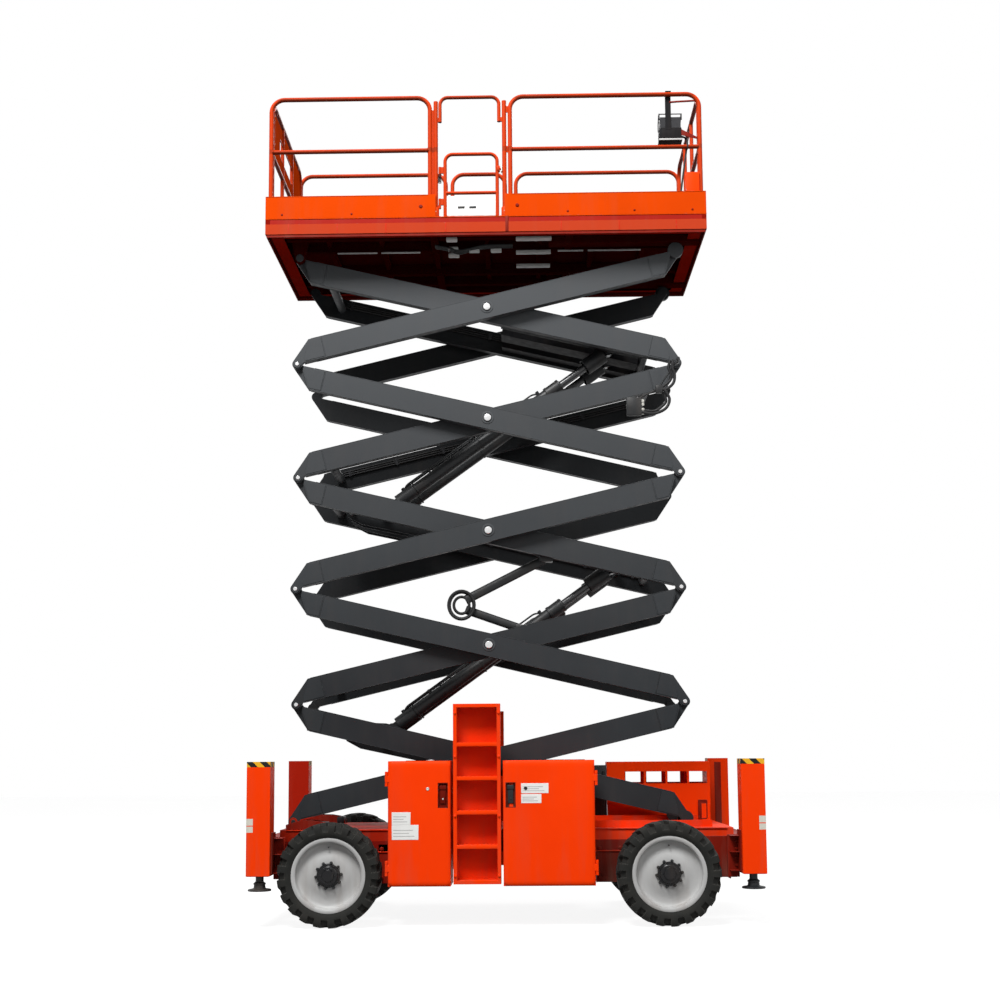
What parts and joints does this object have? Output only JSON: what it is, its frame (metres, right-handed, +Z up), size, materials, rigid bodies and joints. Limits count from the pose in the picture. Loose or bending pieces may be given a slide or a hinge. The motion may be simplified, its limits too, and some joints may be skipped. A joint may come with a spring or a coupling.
{
  "type": "rough-terrain scissor lift",
  "caption": "Self-propelled scissor lift on four wheels: crossed arms raise a railed platform; outriggers level the chassis.",
  "frame": {"origin": "on the ground, midway between the four outriggers", "axes": "+Z up, -X towards the steered front wheels, -Y towards the left side with the entry gate"},
  "size_m": [4.37, 2.3, 7.4374],
  "materials": {
    "orange_paint": "gloss",
    "charcoal_paint": "satin",
    "black_paint": "satin",
    "rim_grey": "satin",
    "tyre": "matte",
    "steel": "satin",
    "dark_plastic": "matte"
  },
  "bodies": {
    "chassis": {"chassis_frame": "orange_paint", "outrigger_beams": "orange_paint", "outrigger_housings": "orange_paint", "front_axle": "black_paint", "rear_axle": "black_paint", "front_left_locker": "orange_paint", "front_right_locker": "orange_paint", "rear_left_locker": "orange_paint", "rear_right_locker": "orange_paint", "engine_block": "black_paint", "ladders": "orange_paint", "rear_hood": "orange_paint"},
    "left_knuckle": {"left_knuckle": "black_paint"},
    "front_left_wheel": {"front_left_rim": "rim_grey", "front_left_tyre": "tyre"},
    "rear_left_wheel": {"rear_left_rim": "rim_grey", "rear_left_tyre": "tyre"},
    "right_knuckle": {"right_knuckle": "black_paint"},
    "front_right_wheel": {"front_right_rim": "rim_grey", "front_right_tyre": "tyre"},
    "rear_right_wheel": {"rear_right_rim": "rim_grey", "rear_right_tyre": "tyre"},
    "front_left_leg": {"front_left_leg": "black_paint"},
    "front_right_leg": {"front_right_leg": "black_paint"},
    "rear_left_leg": {"rear_left_leg": "black_paint"},
    "rear_right_leg": {"rear_right_leg": "black_paint"},
    "front_left_door": {"front_left_door": "orange_paint"},
    "front_right_door": {"front_right_door": "orange_paint"},
    "rear_left_door": {"rear_left_door": "orange_paint"},
    "rear_right_door": {"rear_right_door": "orange_paint"},
    "stage_1_outer": {"stage_1_outer_arms": "charcoal_paint"},
    "stage_1_inner": {"stage_1_inner_frame": "charcoal_paint"},
    "stage_2_outer": {"stage_2_outer_arms": "charcoal_paint"},
    "stage_2_inner": {"stage_2_inner_frame": "charcoal_paint"},
    "stage_3_outer": {"stage_3_outer_arms": "charcoal_paint"},
    "stage_3_inner": {"stage_3_inner_frame": "charcoal_paint"},
    "stage_4_outer": {"stage_4_outer_arms": "charcoal_paint"},
    "stage_4_inner": {"stage_4_inner_frame": "charcoal_paint"},
    "stage_5_outer": {"stage_5_outer_arms": "charcoal_paint"},
    "stage_5_inner": {"stage_5_inner_frame": "charcoal_paint"},
    "platform": {"platform_deck": "orange_paint", "toe_boards": "orange_paint", "guard_rails": "orange_paint", "control_box": "dark_plastic"},
    "entry_gate": {"entry_gate": "orange_paint"},
    "lower_barrels": {"lower_cylinder_barrels": "charcoal_paint"},
    "lower_rods": {"lower_cylinder_rods": "steel"},
    "upper_barrels": {"upper_cylinder_barrels": "charcoal_paint"},
    "upper_rods": {"upper_cylinder_rods": "steel"}
  },
  "joints": [
    {"name": "left_steer", "type": "hinge", "parent": "chassis", "child": "left_knuckle", "pos_m": [-1.495, -0.97, 0.44], "axis": [0, 0, 1], "range_deg": [-23, 23]},
    {"name": "front_left_spin", "type": "hinge", "parent": "left_knuckle", "child": "front_left_wheel", "pos_m": [-1.495, -1, 0.44], "axis": [0, 1, 0], "continuous": true},
    {"name": "rear_left_spin", "type": "hinge", "parent": "chassis", "child": "rear_left_wheel", "pos_m": [1.375, -1, 0.44], "axis": [0, 1, 0], "continuous": true},
    {"name": "right_steer", "type": "hinge", "parent": "chassis", "child": "right_knuckle", "pos_m": [-1.495, 0.97, 0.44], "axis": [0, 0, 1], "range_deg": [-23, 23]},
    {"name": "front_right_spin", "type": "hinge", "parent": "right_knuckle", "child": "front_right_wheel", "pos_m": [-1.495, 1, 0.44], "axis": [0, 1, 0], "continuous": true},
    {"name": "rear_right_spin", "type": "hinge", "parent": "chassis", "child": "rear_right_wheel", "pos_m": [1.375, 1, 0.44], "axis": [0, 1, 0], "continuous": true},
    {"name": "front_left_outrigger", "type": "slide", "parent": "chassis", "child": "front_left_leg", "axis": [0, 0, -1], "range_m": [0, 0.55]},
    {"name": "front_right_outrigger", "type": "slide", "parent": "chassis", "child": "front_right_leg", "axis": [0, 0, -1], "range_m": [0, 0.55]},
    {"name": "rear_left_outrigger", "type": "slide", "parent": "chassis", "child": "rear_left_leg", "axis": [0, 0, -1], "range_m": [0, 0.55]},
    {"name": "rear_right_outrigger", "type": "slide", "parent": "chassis", "child": "rear_right_leg", "axis": [0, 0, -1], "range_m": [0, 0.55]},
    {"name": "front_left_door_hinge", "type": "hinge", "parent": "chassis", "child": "front_left_door", "pos_m": [-1.007, -1.107, 0.87], "axis": [0, 0, -1], "range_deg": [0, 90]},
    {"name": "front_right_door_hinge", "type": "hinge", "parent": "chassis", "child": "front_right_door", "pos_m": [-1.007, 1.107, 0.87], "axis": [0, 0, 1], "range_deg": [0, 90]},
    {"name": "rear_left_door_hinge", "type": "hinge", "parent": "chassis", "child": "rear_left_door", "pos_m": [0.771, -1.107, 0.87], "axis": [0, 0, 1], "range_deg": [0, 100]},
    {"name": "rear_right_door_hinge", "type": "hinge", "parent": "chassis", "child": "rear_right_door", "pos_m": [0.771, 1.107, 0.87], "axis": [0, 0, -1], "range_deg": [0, 100]},
    {"name": "scissor_lift", "type": "hinge", "parent": "chassis", "child": "stage_1_outer", "pos_m": [-1.873, 0, 0.871], "axis": [0, -1, 0], "range_deg": [-12.3, 31.9]},
    {"name": "stage_1_centre", "type": "hinge", "parent": "stage_1_outer", "child": "stage_1_inner", "pos_m": [-0.14131, 0, 1.38724], "axis": [0, -1, 0], "range_deg": [-64.3, 25.1]},
    {"name": "stage_2_side", "type": "hinge", "parent": "stage_1_inner", "child": "stage_2_inner", "pos_m": [-1.873, 0, 1.90348], "axis": [0, -1, 0], "range_deg": [-25.1, 64.3]},
    {"name": "stage_2_centre", "type": "hinge", "parent": "stage_2_inner", "child": "stage_2_outer", "pos_m": [-0.14131, 0, 2.41972], "axis": [0, -1, 0], "range_deg": [-64.3, 25.1]},
    {"name": "stage_3_side", "type": "hinge", "parent": "stage_2_outer", "child": "stage_3_outer", "pos_m": [-1.873, 0, 2.93596], "axis": [0, -1, 0], "range_deg": [-25.1, 64.3]},
    {"name": "stage_3_centre", "type": "hinge", "parent": "stage_3_outer", "child": "stage_3_inner", "pos_m": [-0.14131, 0, 3.45219], "axis": [0, -1, 0], "range_deg": [-64.3, 25.1]},
    {"name": "stage_4_side", "type": "hinge", "parent": "stage_3_inner", "child": "stage_4_inner", "pos_m": [-1.873, 0, 3.96843], "axis": [0, -1, 0], "range_deg": [-25.1, 64.3]},
    {"name": "stage_4_centre", "type": "hinge", "parent": "stage_4_inner", "child": "stage_4_outer", "pos_m": [-0.14131, 0, 4.48467], "axis": [0, -1, 0], "range_deg": [-64.3, 25.1]},
    {"name": "stage_5_side", "type": "hinge", "parent": "stage_4_outer", "child": "stage_5_outer", "pos_m": [-1.873, 0, 5.00091], "axis": [0, -1, 0], "range_deg": [-25.1, 64.3]},
    {"name": "stage_5_centre", "type": "hinge", "parent": "stage_5_outer", "child": "stage_5_inner", "pos_m": [-0.14131, 0, 5.51715], "axis": [0, -1, 0], "range_deg": [-64.3, 25.1]},
    {"name": "platform_level", "type": "hinge", "parent": "stage_5_inner", "child": "platform", "pos_m": [-1.873, 0, 6.03339], "axis": [0, -1, 0], "range_deg": [-12.8, 32.4]},
    {"name": "entry_gate_hinge", "type": "hinge", "parent": "platform", "child": "entry_gate", "pos_m": [-0.555, -0.84, 6.57339], "axis": [0, 0, 1], "range_deg": [0, 90]},
    {"name": "lower_cylinder_foot", "type": "hinge", "parent": "stage_1_inner", "child": "lower_barrels", "pos_m": [-1.03913, 0, 1.69037], "axis": [0, -1, 0], "range_deg": [-28.79, 73.87]},
    {"name": "lower_cylinder_rod", "type": "slide", "parent": "lower_barrels", "child": "lower_rods", "axis": [0.8118, 0, 0.5839], "range_m": [-0.4847, 1.2491]},
    {"name": "upper_cylinder_foot", "type": "hinge", "parent": "stage_3_inner", "child": "upper_barrels", "pos_m": [-1.03913, 0, 3.75532], "axis": [0, -1, 0], "range_deg": [-28.79, 73.87]},
    {"name": "upper_cylinder_rod", "type": "slide", "parent": "upper_barrels", "child": "upper_rods", "axis": [0.8118, 0, 0.5839], "range_m": [-0.4847, 1.2491]}
  ],
  "couplings": [
    {"joint": "right_steer", "follows": "left_steer", "ratio": 1},
    {"joint": "stage_1_centre", "follows": "scissor_lift", "ratio": -2},
    {"joint": "stage_2_side", "follows": "scissor_lift", "ratio": 2},
    {"joint": "stage_2_centre", "follows": "scissor_lift", "ratio": -2},
    {"joint": "stage_3_side", "follows": "scissor_lift", "ratio": 2},
    {"joint": "stage_3_centre", "follows": "scissor_lift", "ratio": -2},
    {"joint": "stage_4_side", "follows": "scissor_lift", "ratio": 2},
    {"joint": "stage_4_centre", "follows": "scissor_lift", "ratio": -2},
    {"joint": "stage_5_side", "follows": "scissor_lift", "ratio": 2},
    {"joint": "stage_5_centre", "follows": "scissor_lift", "ratio": -2},
    {"joint": "platform_level", "follows": "scissor_lift", "ratio": 1},
    {"joint": "lower_cylinder_foot", "follows": "scissor_lift", "ratio": 2.3},
    {"joint": "lower_cylinder_rod", "follows": "scissor_lift", "m_per_rad": 2.2345},
    {"joint": "upper_cylinder_foot", "follows": "scissor_lift", "ratio": 2.3},
    {"joint": "upper_cylinder_rod", "follows": "scissor_lift", "m_per_rad": 2.2345}
  ]
}
